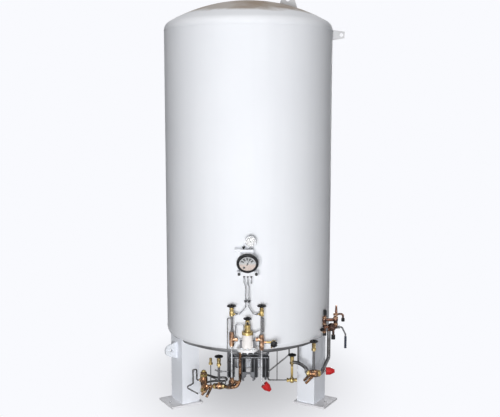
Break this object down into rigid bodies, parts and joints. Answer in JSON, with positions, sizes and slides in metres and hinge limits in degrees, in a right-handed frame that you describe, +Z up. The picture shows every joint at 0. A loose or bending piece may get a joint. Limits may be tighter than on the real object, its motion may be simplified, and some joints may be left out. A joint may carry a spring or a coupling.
{
  "type": "vertical pressure tank",
  "caption": "Upright white vacuum-jacketed pressure tank with dished ends on box legs, front gauges, valves, finned vaporizer and relief manifold for storing cold liquid gas.",
  "frame": {"origin": "on the floor under the tank's axis, at the centre of the anchor bolt circle", "axes": "+Z up along the tank's axis, -Y towards the front with the gauges, +X to the right seen from the front"},
  "size_m": [1.8739, 1.978, 4.0523],
  "materials": {
    "white_paint": "gloss white enamel",
    "leg_paint": "gloss white enamel",
    "plate_paint": "satin white enamel",
    "gauge_black": "satin black",
    "gauge_grey": "satin",
    "dial_white": "printed dial",
    "tube_steel": "drawn tube",
    "brass": "machined, dulled",
    "bronze": "cast, dulled",
    "dark_pipe": "dark patina",
    "fin_aluminium": "mill finish",
    "cap_black": "satin black",
    "cap_red": "moulded red",
    "wheel_black": "black enamel"
  },
  "bodies": {
    "tank": {"jacket_shell": "white_paint", "top_head": "white_paint", "bottom_head": "white_paint", "leg_front_left": "leg_paint", "leg_front_right": "leg_paint", "leg_rear": "leg_paint", "base_plate_front_left": "plate_paint", "base_plate_front_right": "plate_paint", "base_plate_rear": "plate_paint", "crown_lug": "white_paint", "side_lug": "white_paint", "tailing_lug": "leg_paint", "gauge_bracket": "white_paint", "level_gauge": "gauge_black", "pressure_gauge": "gauge_grey", "gauge_dials": "dial_white", "gauge_knobs": "gauge_black", "gauge_tubes": "tube_steel", "left_instrument_valve": "brass", "right_instrument_valve": "brass", "left_riser": "dark_pipe", "right_riser": "dark_pipe", "left_manifold": "bronze", "right_manifold": "bronze", "centre_valve_body": "white_paint", "centre_valve_bonnet": "brass", "cross_tubes": "tube_steel", "side_valve": "brass", "vaporizer": "fin_aluminium", "fill_check_valve": "bronze", "lower_riser_tubes": "tube_steel", "liquid_valve": "bronze", "fill_body": "bronze", "lower_left_pipes": "dark_pipe", "fill_relief_valve": "brass", "drain_valve": "brass", "vent_valve": "bronze", "lower_right_pipes": "dark_pipe", "relief_manifold": "bronze", "relief_valves": "cap_black", "outlet_caps": "cap_red"},
    "left_handwheel": {"left_handwheel": "wheel_black"},
    "right_handwheel": {"right_handwheel": "wheel_black"},
    "centre_handwheel": {"centre_handwheel": "wheel_black"},
    "side_handwheel": {"side_handwheel": "wheel_black"},
    "liquid_handwheel": {"liquid_handwheel": "wheel_black"},
    "drain_handwheel": {"drain_handwheel": "wheel_black"},
    "vent_handwheel": {"vent_handwheel": "wheel_black"},
    "diverter_lever": {"diverter_lever": "dark_pipe"}
  },
  "joints": [
    {"name": "left_valve_turn", "type": "hinge", "parent": "tank", "child": "left_handwheel", "pos_m": [-0.155, -0.9, 1.102], "axis": [0, 0, 1], "range_deg": [0, 1080]},
    {"name": "right_valve_turn", "type": "hinge", "parent": "tank", "child": "right_handwheel", "pos_m": [0.124, -0.9, 1.102], "axis": [0, 0, 1], "range_deg": [0, 1080]},
    {"name": "centre_valve_turn", "type": "hinge", "parent": "tank", "child": "centre_handwheel", "pos_m": [-0.008, -0.93, 0.989], "axis": [0, 0, 1], "range_deg": [0, 1080]},
    {"name": "side_valve_turn", "type": "hinge", "parent": "tank", "child": "side_handwheel", "pos_m": [0.238, -0.949, 0.765], "axis": [0, -1, 0], "range_deg": [0, 1080]},
    {"name": "liquid_valve_turn", "type": "hinge", "parent": "tank", "child": "liquid_handwheel", "pos_m": [-0.282, -0.74, 0.567], "axis": [0, 0, 1], "range_deg": [0, 1080]},
    {"name": "drain_valve_turn", "type": "hinge", "parent": "tank", "child": "drain_handwheel", "pos_m": [0.425, -0.62, 0.544], "axis": [0, 0, 1], "range_deg": [0, 1080]},
    {"name": "vent_valve_turn", "type": "hinge", "parent": "tank", "child": "vent_handwheel", "pos_m": [0.63, -0.69, 0.701], "axis": [0, 0, 1], "range_deg": [0, 1080]},
    {"name": "diverter_turn", "type": "hinge", "parent": "tank", "child": "diverter_lever", "pos_m": [0.88611, -0.41932, 0.779], "axis": [-1, 0, 0], "range_deg": [0, 90]}
  ]
}
